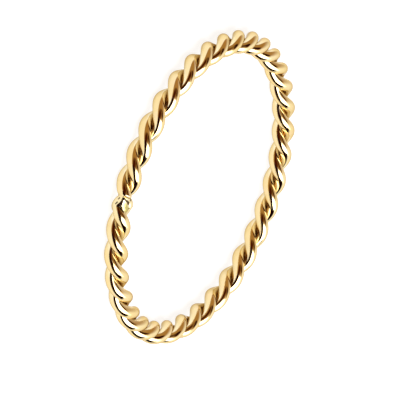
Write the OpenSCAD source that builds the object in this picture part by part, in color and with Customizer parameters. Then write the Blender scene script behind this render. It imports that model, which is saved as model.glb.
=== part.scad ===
// Rope twist ring: two round gold wires laid together left-handed, bent into
// a ring and soldered shut. All the metal is soldered, so it is one solid.
// Millimetres. The ring lies on its side: its axis is +Z, the origin is on
// that axis in the plane it rests on, and the seam is toward -Y.

/* [Ring] */
// Inside diameter, between the innermost points of the rope
inner_d = 17.3; // [14:0.1:22]

/* [Rope] */
// Diameter of each of the two round wires
wire_d = 0.75; // [0.6:0.01:0.9]
// How far the two wires are pressed and soldered into each other
wire_press = 0.05; // [0.02:0.01:0.08]
// Crossings of the wires round the ring, an even number so that the rope closes
crossings = 34; // [26:2:38]

/* [Closing seam] */
// Where the seam lies round the ring, in degrees from +X
seam_at = -90; // [-180:1:180]
// Twist missing at the seam, because the ends were soldered out of step, in degrees
seam_step = 54; // [0:1:90]
// Direction from wire to wire at the seam, from straight outward toward +Z, in degrees
seam_lean = 154; // [0:1:180]
// Wire radius in the round fold that ends one side of the seam
fold_r = 0.34; // [0.3:0.01:0.36]
// Gap from the fold's centre to the rounded tips of the other side
tip_gap = 0.5; // [0.3:0.05:0.6]
// Length over which those tips round off
tip_round = 0.3; // [0.2:0.05:0.5]
// Size of the solder fillet between the fold and the tips
solder_r = 0.1; // [0.02:0.01:0.12]

/* [Facets] */
// Sections in one full turn of the twist
turn_cuts = 16; // [12:4:16]
// Sides across each wire's visible round
lobe_sides = 10; // [8:2:10]
// Sections in the stretch of rope at the seam
seam_cuts = 20; // [20:1:30]

/* [Hidden] */

wire_r = wire_d / 2;
lay_r = (wire_d - wire_press) / 2;
rope_r = lay_r + wire_r;
ring_r = inner_d / 2 + rope_r;

// Degrees of twist for each degree round the ring, and the wires' slope
twist_rate = (crossings * 180 - seam_step) / 360;
lay_slope = lay_r * twist_rate / ring_r;
lay_angle = atan(lay_slope);

// The seam's stretch of the ring, in degrees before and after the fold's centre
seam_before = 6;
seam_after = 4;
// Degrees over which the grid catches up with the missing twist
catch_up = 5;
twist_cut = 360 / turn_cuts;

function ease(t) =
    let (c = max(0, min(1, t)))
    c * c * (3 - 2 * c);

// The larger of two radii, with a fillet where they cross
function blend_max(a, b, size) =
    max(a, b) + pow(max(size - abs(a - b), 0), 2) / (4 * size);

// Angle folded to the half turn from -90 to 90
function half_turn(angle) = angle - 180 * round(angle / 180);

// A point of one wire's outline where the rope is cut square across: psi goes
// round the wire, and the slanting wire's cut is bent round the rope's centre
function cut_point(psi) =
    let (
        out = lay_r + wire_r * cos(psi),
        side = wire_r * sin(psi) * cos(lay_angle),
        bend = wire_r / lay_r * lay_slope * sin(lay_angle) * sin(psi) * 180 / PI
    )
    [out * cos(bend) - side * sin(bend), out * sin(bend) + side * cos(bend)];

function cut_angle(psi) =
    let (p = cut_point(psi))
    atan2(p.y, p.x);

// The psi at which one wire's outline meets the other's, by halving
function meeting_psi(low = 90, high = 180, steps = 24) =
    let (mid = (low + high) / 2)
    steps == 0 ? mid
        : cut_angle(mid) < 90 ? meeting_psi(mid, high, steps - 1)
        : meeting_psi(low, mid, steps - 1);

// Polar outline of one lobe of the rope's section: [angle, radius]
function lobe(sides) =
    let (last = meeting_psi())
    [
        for (i = [0 : sides])
            let (psi = last * (2 * i / sides - 1))
            [i == 0 ? -90 : i == sides ? 90 : cut_angle(psi), norm(cut_point(psi))]
    ];

lobe_grid = lobe(lobe_sides);
lobe_fine = lobe(60);

// Radius of the twisted rope's section, at an angle from the line between wires
function rope_radius(angle) = lookup(half_turn(angle), lobe_fine);

// Radius of the fold's section: the two wires run together in a round bend,
// and along is the distance of the section beyond the bend's centre
function fold_radius(along, angle) =
    let (
        across = pow(cos(angle), 2),
        root = sqrt(pow(fold_r * across, 2) + pow(along, 2) * (1 - across))
    )
    sqrt(max(0, 2 * fold_r * (fold_r * across + root) - pow(along, 2)));

// The other side's tips round off at tip_gap from the fold's centre
function tip_scale(along) =
    let (u = max(0, min(1, (tip_gap + tip_round - along) / tip_round)))
    sqrt(1 - u * u);

// Angle of the line between wires, at a ring angle counted from the seam
function rope_phase(turn) = seam_lean + twist_rate * turn;
function grid_phase(turn) =
    rope_phase(turn) + seam_step * ease((turn - 360 + catch_up) / catch_up);

// Radius of the whole section, seam included, at angle phi from outward
function section_radius(turn, phi) =
    turn < seam_after ? (
        let (w = ease(turn / seam_after), off = phi - rope_phase(turn))
        w * rope_radius(off) + (1 - w) * fold_radius(0, off)
    )
    : turn < 360 - seam_before ? rope_radius(phi - rope_phase(turn))
    : let (along = ring_r * (360 - turn) * PI / 180)
        blend_max(
            tip_scale(along) * rope_radius(phi - rope_phase(turn)),
            fold_radius(along, phi - seam_lean),
            solder_r
        );

// Point of the surface at a ring angle and at a grid angle across the section
function surface_point(turn, across) =
    let (
        phi = grid_phase(turn) + across,
        r = section_radius(turn, phi),
        out = ring_r + r * cos(phi),
        at = seam_at + turn
    )
    [out * cos(at), out * sin(at), rope_r + r * sin(phi)];

// Ring angles of the sections: even twist steps along the rope, in which the
// topmost, lowest, outermost and innermost points fall, then the seam
first_step = ceil((seam_lean + twist_rate * seam_after) / twist_cut);
last_step = floor((seam_lean + twist_rate * (360 - seam_before)) / twist_cut);
rope_turns = [for (i = [first_step : last_step]) (i * twist_cut - seam_lean) / twist_rate];
seam_start = rope_turns[len(rope_turns) - 1];
seam_span = 360 + rope_turns[0] - seam_start;
seam_turns = [for (i = [1 : seam_cuts - 1]) seam_start + seam_span * i / seam_cuts];
turns = [for (t = concat(rope_turns, seam_turns)) t < 360 ? t : t - 360];

// Grid angles across the section: one lobe, and the other half a turn on
across_angles = [
    for (half = [0, 180], i = [0 : lobe_sides - 1]) half + lobe_grid[i][0]
];

module twisted_band() {
    rows = len(turns);
    cols = len(across_angles);
    points = [for (t = turns, a = across_angles) surface_point(t, a)];
    faces = [
        for (i = [0 : rows - 1], j = [0 : cols - 1])
            let (
                next_row = (i + 1) % rows,
                next_col = (j + 1) % cols,
                here = i * cols + j,
                beside = i * cols + next_col,
                ahead = next_row * cols + j,
                corner = next_row * cols + next_col
            )
            each [[here, beside, ahead], [ahead, beside, corner]]
    ];
    color("goldenrod") polyhedron(points = points, faces = faces, convexity = 6);
}

twisted_band();
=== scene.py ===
import math

import bpy
import numpy as np
from mathutils import Matrix, Vector


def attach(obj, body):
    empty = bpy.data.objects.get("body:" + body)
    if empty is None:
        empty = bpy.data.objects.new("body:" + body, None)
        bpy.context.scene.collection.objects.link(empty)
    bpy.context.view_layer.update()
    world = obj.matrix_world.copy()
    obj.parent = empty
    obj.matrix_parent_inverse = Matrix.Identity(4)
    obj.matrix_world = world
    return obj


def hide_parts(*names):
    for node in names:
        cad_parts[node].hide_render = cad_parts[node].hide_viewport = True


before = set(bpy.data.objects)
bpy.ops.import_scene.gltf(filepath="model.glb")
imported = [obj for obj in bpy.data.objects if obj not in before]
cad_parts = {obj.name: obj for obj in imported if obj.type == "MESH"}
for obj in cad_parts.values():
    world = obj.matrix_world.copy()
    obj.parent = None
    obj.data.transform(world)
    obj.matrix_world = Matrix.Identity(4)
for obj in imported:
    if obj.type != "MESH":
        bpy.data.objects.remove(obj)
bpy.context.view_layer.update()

MM = 0.001

# The ring's named sizes, as in the CAD source, in millimetres and degrees
INNER_D = 17.3
WIRE_D = 0.75
WIRE_PRESS = 0.05
CROSSINGS = 34
SEAM_AT = -90.0
SEAM_STEP = 54.0
SEAM_LEAN = 154.0
FOLD_R = 0.34
TIP_GAP = 0.5
TIP_ROUND = 0.3
SOLDER_R = 0.1
SEAM_BEFORE = 6.0
SEAM_AFTER = 4.0
CATCH_UP = 5.0

WIRE_R = WIRE_D / 2
LAY_R = (WIRE_D - WIRE_PRESS) / 2
ROPE_R = LAY_R + WIRE_R
RING_R = INNER_D / 2 + ROPE_R
TWIST_RATE = (CROSSINGS * 180 - SEAM_STEP) / 360
LAY_SLOPE = LAY_R * TWIST_RATE / RING_R
LAY_ANGLE = math.atan(LAY_SLOPE)

# Mesh density of the fine band, and the angle from which an edge shows as sharp
ROPE_ROWS = 480
SEAM_ROWS = 180
LOBE_COLS = 72
SHARP_ANGLE = 40
# Halvings that find where the wires' outlines meet, and sides of the outline kept
HALVINGS = 40
OUTLINE_SIDES = 400

# Solder run into the seam, as round beads. Each lies at an angle round the ring
# from the seam and an angle round the rope from outward, with its centre's
# distance from the rope's centre, its radius and the fillet round it
BEADS = [
    (0.4, 108, -0.12, 0.53, 0.08),
    (-3.3, 42, 0.12, 0.34, 0.08),
    (-1.9, 8, 0.20, 0.37, 0.12),
    (-3.9, 16, 0.26, 0.34, 0.10),
]
# Creases left in the solder, darkened with painted shade: the angles round the ring
# and round the rope of the points that each runs through, and its half width there
CREASES = [
    [
        (-2.85, 22, 0.05), (-3.18, 29, 0.07), (-2.44, 56, 0.09),
        (-1.92, 71, 0.13), (-1.45, 88, 0.15),
    ],
    [(-2.55, -8, 0.05), (-3.15, -1, 0.06)],
    [(-0.75, -12, 0.05), (-1.50, -6, 0.06)],
    [(-2.90, 112, 0.08), (-2.60, 110, 0.07)],
    [(0.35, 108, 0.06), (0.75, 105, 0.06)],
    [
        (-0.1, 3, 0.07), (-0.05, 12, 0.10), (0.25, 24, 0.11),
        (0.95, 34, 0.11), (1.5, 43, 0.08),
    ],
]
CREASE_DEPTH = 0.02
# A dull stain on the solder, given in the same way. It has no depth
STAINS = [
    [(-1.5, 42, 0.14), (-0.3, 50, 0.27), (0.9, 78, 0.30)],
]
# Thickness at which solder hides the wires' own colour
SOLDER_EDGE = 0.03


def ease(t):
    c = np.clip(t, 0, 1)
    return c * c * (3 - 2 * c)


def blend_max(a, b, size):
    """The larger of two radii, with a fillet where they cross."""
    return np.maximum(a, b) + np.maximum(size - np.abs(a - b), 0) ** 2 / (4 * size)


def half_turn(angle):
    """Angle folded to the half turn from -90 to 90 degrees."""
    return angle - 180 * np.round(angle / 180)


def lobe_outline(sides):
    """Polar outline of one lobe of the rope's square cut: angles in degrees, and radii."""

    def cut(psi):
        out = LAY_R + WIRE_R * np.cos(psi)
        side = WIRE_R * np.sin(psi) * math.cos(LAY_ANGLE)
        bend = WIRE_R / LAY_R * LAY_SLOPE * math.sin(LAY_ANGLE) * np.sin(psi)
        x = out * np.cos(bend) - side * np.sin(bend)
        y = out * np.sin(bend) + side * np.cos(bend)
        return np.degrees(np.arctan2(y, x)), np.hypot(x, y)

    low, high = math.pi / 2, math.pi
    for _ in range(HALVINGS):
        middle = (low + high) / 2
        if cut(middle)[0] < 90:
            low = middle
        else:
            high = middle
    angles, radii = cut(np.linspace(-low, low, sides + 1))
    angles[0], angles[-1] = -90, 90
    return angles, radii


FINE_LOBE = lobe_outline(OUTLINE_SIDES)


def rope_radius(angle):
    """Radius of the twisted rope's section, at an angle from the line between wires."""
    return np.interp(half_turn(angle), *FINE_LOBE)


def fold_radius(along, angle):
    """Section of the round fold that ends one side of the seam."""
    across = np.cos(np.radians(angle)) ** 2
    root = np.sqrt((FOLD_R * across) ** 2 + along**2 * (1 - across))
    return np.sqrt(np.maximum(0, 2 * FOLD_R * (FOLD_R * across + root) - along**2))


def tip_scale(along):
    """How the tips on the seam's other side round off toward the fold."""
    u = np.clip((TIP_GAP + TIP_ROUND - along) / TIP_ROUND, 0, 1)
    return np.sqrt(1 - u * u)


def rope_phase(turn):
    """Angle of the line between wires, at a ring angle counted from the seam."""
    return SEAM_LEAN + TWIST_RATE * turn


def section_radius(turn, phi):
    """Radius of the section at a ring angle counted from the seam, seam included."""
    off = phi - rope_phase(turn)
    rope = rope_radius(off)
    w = ease(turn / SEAM_AFTER)
    folded = w * rope + (1 - w) * fold_radius(0, off)
    along = RING_R * np.radians(360 - turn)
    butted = blend_max(tip_scale(along) * rope, fold_radius(along, phi - SEAM_LEAN), SOLDER_R)
    return np.where(turn < SEAM_AFTER, folded, np.where(turn < 360 - SEAM_BEFORE, rope, butted))


def bead_radius(turn, phi, bead):
    """Radius of the section through a bead, or -1 where the bead doesn't reach."""
    at, lean, centre, size, _ = bead
    along = RING_R * np.radians((turn - at + 180) % 360 - 180)
    off = np.radians(phi - lean)
    reach = size**2 - along**2 - (centre * np.sin(off)) ** 2
    return np.where(reach > 0, centre * np.cos(off) + np.sqrt(np.maximum(reach, 0)), -1)


def soldered_radius(turn, phi):
    """Radius of the section with the beads of solder on it."""
    r = section_radius(turn, phi)
    for bead in BEADS:
        fillet = bead[-1]
        r = blend_max(r, bead_radius(turn, phi, bead), fillet)
    return r


def place_on_ring(turn, phi, r):
    """Points in millimetres, at ring angles, section angles and section radii."""
    out = RING_R + r * np.cos(np.radians(phi))
    at = np.radians(SEAM_AT + turn)
    return np.stack([out * np.cos(at), out * np.sin(at), ROPE_R + r * np.sin(np.radians(phi))], -1)


def streak_share(streaks, points):
    """1 in the middle of a streak and 0 outside it."""
    share = np.zeros(points.shape[:-1])
    for streak in streaks:
        turn, phi, half_width = np.array(streak).T
        ends = place_on_ring(turn, phi, soldered_radius(turn % 360, phi))
        for a, b, width_a, width_b in zip(ends, ends[1:], half_width, half_width[1:]):
            t = np.clip((points - a) @ (b - a) / np.dot(b - a, b - a), 0, 1)
            gap = np.linalg.norm(points - a - t[..., None] * (b - a), axis=-1)
            share = np.maximum(share, 1 - ease(gap / (width_a + t * (width_b - width_a))))
    return share


def band_mesh():
    """The ring's fine mesh, with the values that its material reads at each point."""
    rope_turns = np.linspace(SEAM_AFTER, 360 - SEAM_BEFORE, ROPE_ROWS, endpoint=False)
    seam_turns = np.linspace(-SEAM_BEFORE, SEAM_AFTER, SEAM_ROWS, endpoint=False)
    turn = np.concatenate([rope_turns, seam_turns % 360])[:, None]
    # Even steps round the wire are mixed with even steps of angle
    lobe = (lobe_outline(LOBE_COLS)[0][:-1] + np.linspace(-90, 90, LOBE_COLS, endpoint=False)) / 2
    across = np.concatenate([lobe, lobe + 180])

    grid_phase = rope_phase(turn) + SEAM_STEP * ease((turn - 360 + CATCH_UP) / CATCH_UP)
    phi = grid_phase + across[None, :]
    r = soldered_radius(turn, phi)
    smooth_points = place_on_ring(turn, phi, r)
    crease = streak_share(CREASES, smooth_points)
    creased_r = r - CREASE_DEPTH * crease
    points = place_on_ring(turn, phi, creased_r)

    rows, cols = phi.shape
    i, j = np.meshgrid(np.arange(rows), np.arange(cols), indexing="ij")
    ahead, beside = (i + 1) % rows, (j + 1) % cols
    # Counter-clockwise seen from outside, so that the faces look outward
    corners = [(i, j), (ahead, j), (ahead, beside), (i, beside)]
    quads = np.stack([row * cols + col for row, col in corners], -1)

    mesh = bpy.data.meshes.new("twisted_gold")
    mesh.from_pydata((points.reshape(-1, 3) * MM).tolist(), [], quads.reshape(-1, 4).tolist())
    mesh.polygons.foreach_set("use_smooth", np.ones(rows * cols, dtype=bool))
    mesh.set_sharp_from_angle(angle=math.radians(SHARP_ANGLE))

    values = {
        # How deep a point lies below the rope's crests: 0 on a crest, 1 in the valley
        "depth": np.clip((ROPE_R - creased_r) / (ROPE_R - FINE_LOBE[1].min()), 0, 1),
        "crease": crease,
        "solder": np.clip((r - section_radius(turn, phi)) / SOLDER_EDGE, 0, 1),
        "stain": streak_share(STAINS, smooth_points),
    }
    for name, value in values.items():
        mesh.attributes.new(name, "FLOAT", "POINT").data.foreach_set("value", value.ravel())

    # Millimetres along the ring and round both wires, which the draw marks follow
    run = np.concatenate([rope_turns, seam_turns + 360, [SEAM_AFTER + 360]])
    run = np.radians(run) * RING_R
    girth = np.arange(cols + 1) * (4 * WIRE_R * math.pi / cols)
    corners = [(i, j), (i + 1, j), (i + 1, j + 1), (i, j + 1)]
    uv = np.stack([np.stack([run[row], girth[col]], -1) for row, col in corners], 2)
    mesh.uv_layers.new(name="wire").data.foreach_set("uv", uv.astype(np.float32).ravel())
    mesh.update()
    return mesh


def node_maker(tree):
    """A function that adds a node to the tree. Its inputs are values or sockets to link."""

    def add(kind, inputs=(), **settings):
        node = tree.nodes.new(kind)
        for name, value in settings.items():
            setattr(node, name, value)
        for name, value in dict(inputs).items():
            if isinstance(value, bpy.types.NodeSocket):
                tree.links.new(value, node.inputs[name])
            else:
                node.inputs[name].default_value = value
        return node

    return add


# Colours, linear: alloys, solder and a dull stain, and painted shade for the valleys and creases
GOLD = (0.85, 0.69, 0.385, 1)
GOLD_DEEP = (0.84, 0.65, 0.31, 1)
GOLD_ROSE = (0.87, 0.68, 0.41, 1)
FLANK = (0.90, 0.78, 0.51, 1)
SOLDER = (0.85, 0.72, 0.44, 1)
# Painted shade: brown for the valleys between the wires
VALLEY_SHADE = (0.46, 0.30, 0.11, 1)
DULL = (0.52, 0.44, 0.14, 1)
# Painted shade: near black for the creases in the solder
CREASE_SHADE = (0.035, 0.013, 0.002, 1)
EDGE_TINT = (0.68, 0.57, 0.42, 1)
# How far each colour covers those before it. The painted valley shade's cover varies with the
# grain
ROSE_COVER = 0.7
FLANK_COVER = 0.9
SOLDER_COVER = 0.6
VALLEY_SHADE_COVER = (0.5, 0.95)
DULL_COVER = 0.9
CREASE_SHADE_COVER = 0.92

# Sizes of the noise's features and heights of its bumps, in millimetres
PATCH_SIZE = 1.6
ROSE_SIZE = 0.8
GRAIN_SIZE = 0.16
WAVE_SIZE = 0.55
WAVE_HEIGHT = 0.004
MARK_LENGTH = 1.5
MARK_WIDTH = 0.05
MARK_HEIGHT = 0.0006
# Distances from the seam at which the solder's colour ends and at which it is full
SOLDER_ENDS = 1.3
SOLDER_FULL = 0.5

# Roughness of the best and the worst polished patches, and what else adds to it
POLISHED = (0.045, 0.075)
MARK_ROUGHNESS = 0.05
VALLEY_ROUGHNESS = 0.04
SEAM_ROUGHNESS = 0.03
SOLDER_ROUGHNESS = 0.05


def gold_material():
    material = bpy.data.materials.new("gold")
    material.use_nodes = True
    add = node_maker(material.node_tree)
    shader = material.node_tree.nodes["Principled BSDF"]
    shader.inputs["Metallic"].default_value = 1.0
    shader.inputs["Specular Tint"].default_value = EDGE_TINT

    def ramp(value, low, high, start=0.0, end=1.0):
        return add("ShaderNodeMapRange", {
            "Value": value, "From Min": low, "From Max": high, "To Min": start, "To Max": end,
        }, interpolation_type="SMOOTHSTEP").outputs["Result"]

    def times(a, b):
        return add("ShaderNodeMath", {0: a, 1: b}, operation="MULTIPLY").outputs[0]

    def plus(a, b):
        return add("ShaderNodeMath", {0: a, 1: b}, operation="ADD").outputs[0]

    def blend(amount, a, b):
        inputs = {"Factor": amount, "A": a, "B": b}
        return add("ShaderNodeMix", inputs, data_type="RGBA").outputs["Result"]

    def attribute(name):
        return add("ShaderNodeAttribute", attribute_name=name).outputs["Fac"]

    def noise(at, scale, detail):
        inputs = {"Vector": at, "Scale": scale, "Detail": detail}
        return add("ShaderNodeTexNoise", inputs).outputs["Fac"]

    def bump(height_mm, pattern, **normal):
        inputs = {"Strength": 1.0, "Distance": height_mm * MM, "Height": pattern, **normal}
        return add("ShaderNodeBump", inputs).outputs["Normal"]

    place = add("ShaderNodeTexCoord").outputs["Object"]

    def cloud(size_mm, detail):
        """Noise over the object, with features of about that size."""
        return noise(place, 1 / (size_mm * MM), detail)

    patches = cloud(PATCH_SIZE, 2.0)
    rosy = cloud(ROSE_SIZE, 2.0)
    grain = cloud(GRAIN_SIZE, 3.0)
    waves = cloud(WAVE_SIZE, 1.0)
    # Draw marks: noise stretched along the wires
    wire = add("ShaderNodeUVMap", uv_map="wire").outputs["UV"]
    stretch = {"Vector": wire, "Scale": (1 / MARK_LENGTH, 1 / MARK_WIDTH, 1)}
    marks = noise(add("ShaderNodeMapping", stretch).outputs["Vector"], 1.0, 3.0)

    depth = attribute("depth")
    solder = attribute("solder")
    valley = ramp(depth, 0.5, 1.0)
    # The seam's place on the ring, where SEAM_AT is straight toward -Y
    seam_point = (0, -RING_R * MM, ROPE_R * MM)
    from_seam = add("ShaderNodeVectorMath", {0: place, 1: seam_point}, operation="DISTANCE")
    at_seam = ramp(from_seam.outputs["Value"], SOLDER_ENDS * MM, SOLDER_FULL * MM)

    colour = blend(ramp(patches, 0.35, 0.65), GOLD, GOLD_DEEP)
    colour = blend(ramp(rosy, 0.5, 0.7, end=ROSE_COVER), colour, GOLD_ROSE)
    colour = blend(ramp(depth, 0.25, 0.55, end=FLANK_COVER), colour, FLANK)
    colour = blend(times(at_seam, SOLDER_COVER), colour, SOLDER)
    # Painted shade: the valleys between the wires darkened to brown, unevenly with the grain
    colour = blend(times(valley, ramp(grain, 0.25, 0.6, *VALLEY_SHADE_COVER)), colour, VALLEY_SHADE)
    colour = blend(ramp(attribute("stain"), 0.0, 0.6, end=DULL_COVER), colour, DULL)
    # Painted shade: the creases in the solder darkened to near black
    colour = blend(ramp(attribute("crease"), 0.1, 0.45, end=CREASE_SHADE_COVER), colour, CREASE_SHADE)

    rough = plus(ramp(patches, 0.3, 0.7, *POLISHED), ramp(marks, 0.5, 0.75, end=MARK_ROUGHNESS))
    rough = plus(rough, times(valley, VALLEY_ROUGHNESS))
    rough = plus(rough, times(at_seam, SEAM_ROUGHNESS))
    rough = plus(rough, times(solder, SOLDER_ROUGHNESS))

    normal = bump(MARK_HEIGHT, marks, Normal=bump(WAVE_HEIGHT, waves))

    for name, socket in (("Base Color", colour), ("Roughness", rough), ("Normal", normal)):
        material.node_tree.links.new(socket, shader.inputs[name])
    return material


band = bpy.data.objects.new("twisted_gold", band_mesh())
bpy.context.scene.collection.objects.link(band)
band.data.materials.append(gold_material())
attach(band, "root")
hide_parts("twisted_band")

# Floor: a wide sheet of matt paper, lit from below as on a light table. Its half
# width is in metres
FLOOR_HALF = 3.0
PAPER = {
    "Base Color": (0.30, 0.30, 0.30, 1),
    "Roughness": 0.9,
    "Specular IOR Level": 0.1,
    "Emission Color": (1, 1, 1, 1),
    "Emission Strength": 0.82,
}
floor_mesh = bpy.data.meshes.new("floor")
floor_signs = ((-1, -1), (1, -1), (1, 1), (-1, 1))
floor_corners = [(x * FLOOR_HALF, y * FLOOR_HALF, 0) for x, y in floor_signs]
floor_mesh.from_pydata(floor_corners, [], [(0, 1, 2, 3)])
floor = bpy.data.objects.new("floor", floor_mesh)
bpy.context.scene.collection.objects.link(floor)
paper = bpy.data.materials.new("paper")
paper.use_nodes = True
for name, value in PAPER.items():
    paper.node_tree.nodes["Principled BSDF"].inputs[name].default_value = value
floor_mesh.materials.append(paper)

# Camera: the photograph's direction to the ring and its roll, in degrees, then its
# distance, how far right and up the ring's centre is from the view's, and its lens,
# all in millimetres
CAMERA_AZIMUTH = -106.313
CAMERA_ELEVATION = 26.865
CAMERA_ROLL = 110.346
CAMERA_DISTANCE = 242.875
CENTRE_RIGHT = 0.1327
CENTRE_UP = 0.7339
CAMERA_LENS = 356.46
SENSOR_WIDTH = 36
az, el, roll = (math.radians(a) for a in (CAMERA_AZIMUTH, CAMERA_ELEVATION, CAMERA_ROLL))
back = Vector((math.cos(az) * math.cos(el), math.sin(az) * math.cos(el), math.sin(el)))
level_right = Vector((0, 0, 1)).cross(back).normalized()
right = Matrix.Rotation(roll, 3, back) @ level_right
up = back.cross(right)
camera = bpy.data.objects.new("camera", bpy.data.cameras.new("camera"))
bpy.context.scene.collection.objects.link(camera)
camera.data.sensor_width = SENSOR_WIDTH
camera.data.lens = CAMERA_LENS
camera.data.clip_start = 0.01
camera.data.clip_end = 10
place = Vector((0, 0, ROPE_R)) + CAMERA_DISTANCE * back - CENTRE_RIGHT * right - CENTRE_UP * up
turned = Matrix((right, up, back)).transposed().to_4x4()
camera.matrix_world = Matrix.Translation(place * MM) @ turned
bpy.context.scene.camera = camera

# Studio light that comes from all round, as layers painted one over the other in a
# pale room. A layer covers a range of azimuth, counted from the camera toward its
# right hand, and a range of elevation whose ends may differ between its left and its
# right. Its edges are soft, and its level is how bright it is.
ROOM_LEVEL = 1.2
ROOM_LAYERS = [
    # name, azimuth from, to, soft left, soft right,
    #     lowest at left, at right, highest at left, at right, soft low, soft high, level
    ("warm_wall", -138, 4, 70, 12, 1, 1, 82, 76, 14, 16, 0.45),
    ("overhead", -170, -70, 40, 40, 72, 72, 95, 95, 10, 2, 0.50),
    ("high_dark", -122, -62, 24, 30, 64, 34, 88, 70, 10, 6, 0.03),
    ("softbox", 2, 132, 28, 64, 24, 46, 130, 130, 8, 10, 5.0),
    ("dark_room", -54, 18, 14, 24, 25, 9, 62, 50, 7, 28, 0.07),
    ("strip_left", 3, 62, 6, 6, 6, 6, 54, 39, 6, 6, 0.02),
    ("strip_right", 57, 124, 6, 12, 5, 4, 35, 54, 4, 4, 0.01),
]
# Powers of a dark layer's level that make its red, green and blue
DARK_POWERS = (1, 1.75, 3.2)


def tone(level):
    """Colour of a layer: dark surroundings are warm brown, bright ones are white."""
    return (*(level**power if level < 1 else level for power in DARK_POWERS), 1)


def world_light():
    world = bpy.data.worlds.new("studio")
    world.use_nodes = True
    add = node_maker(world.node_tree)

    def math_node(operation, *values):
        return add("ShaderNodeMath", enumerate(values), operation=operation).outputs[0]

    def map_range(value, from_min, from_max, to_min, to_max, kind):
        return add("ShaderNodeMapRange", {
            "Value": value, "From Min": from_min, "From Max": from_max,
            "To Min": to_min, "To Max": to_max,
        }, interpolation_type=kind).outputs["Result"]

    def step(value, at, soft):
        """0 below an angle in degrees and 1 above it, softly."""
        low, high = math.radians(at - soft / 2), math.radians(at + soft / 2)
        return map_range(value, low, high, 0, 1, "SMOOTHSTEP")

    def step_along(left, right, at_left, at_right, soft):
        """A step in elevation, at an angle that changes evenly with azimuth."""
        ends = (math.radians(angle) for angle in (left, right, at_left, at_right))
        edge = map_range(azimuth, *ends, "LINEAR")
        return step(math_node("SUBTRACT", elevation, edge), 0, soft)

    direction = add("ShaderNodeTexCoord").outputs["Generated"]
    from_camera = add("ShaderNodeVectorRotate", {
        "Vector": direction, "Angle": math.radians(-CAMERA_AZIMUTH),
    }, rotation_type="Z_AXIS").outputs["Vector"]
    x, y, z = add("ShaderNodeSeparateXYZ", {"Vector": from_camera}).outputs
    azimuth = math_node("ARCTAN2", y, x)
    elevation = math_node("ARCSINE", z)

    colour = tone(ROOM_LEVEL)
    for (
        name, left, right, soft_left, soft_right,
        low_left, low_right, high_left, high_right, soft_low, soft_high, level,
    ) in ROOM_LAYERS:
        low = step_along(left, right, low_left, low_right, soft_low)
        high = step_along(left, right, high_left, high_right, soft_high)
        inside = math_node("MULTIPLY", step(azimuth, left, soft_left), low)
        beyond = math_node("MAXIMUM", step(azimuth, right, soft_right), high)
        mask = math_node("MULTIPLY", inside, math_node("SUBTRACT", 1.0, beyond))
        inputs = {"Factor": mask, "A": colour, "B": tone(level)}
        mix = add("ShaderNodeMix", inputs, data_type="RGBA", label=name)
        colour = mix.outputs["Result"]
    world.node_tree.links.new(colour, world.node_tree.nodes["Background"].inputs["Color"])
    return world


bpy.context.scene.world = world_light()
bpy.context.scene.view_settings.view_transform = "Standard"
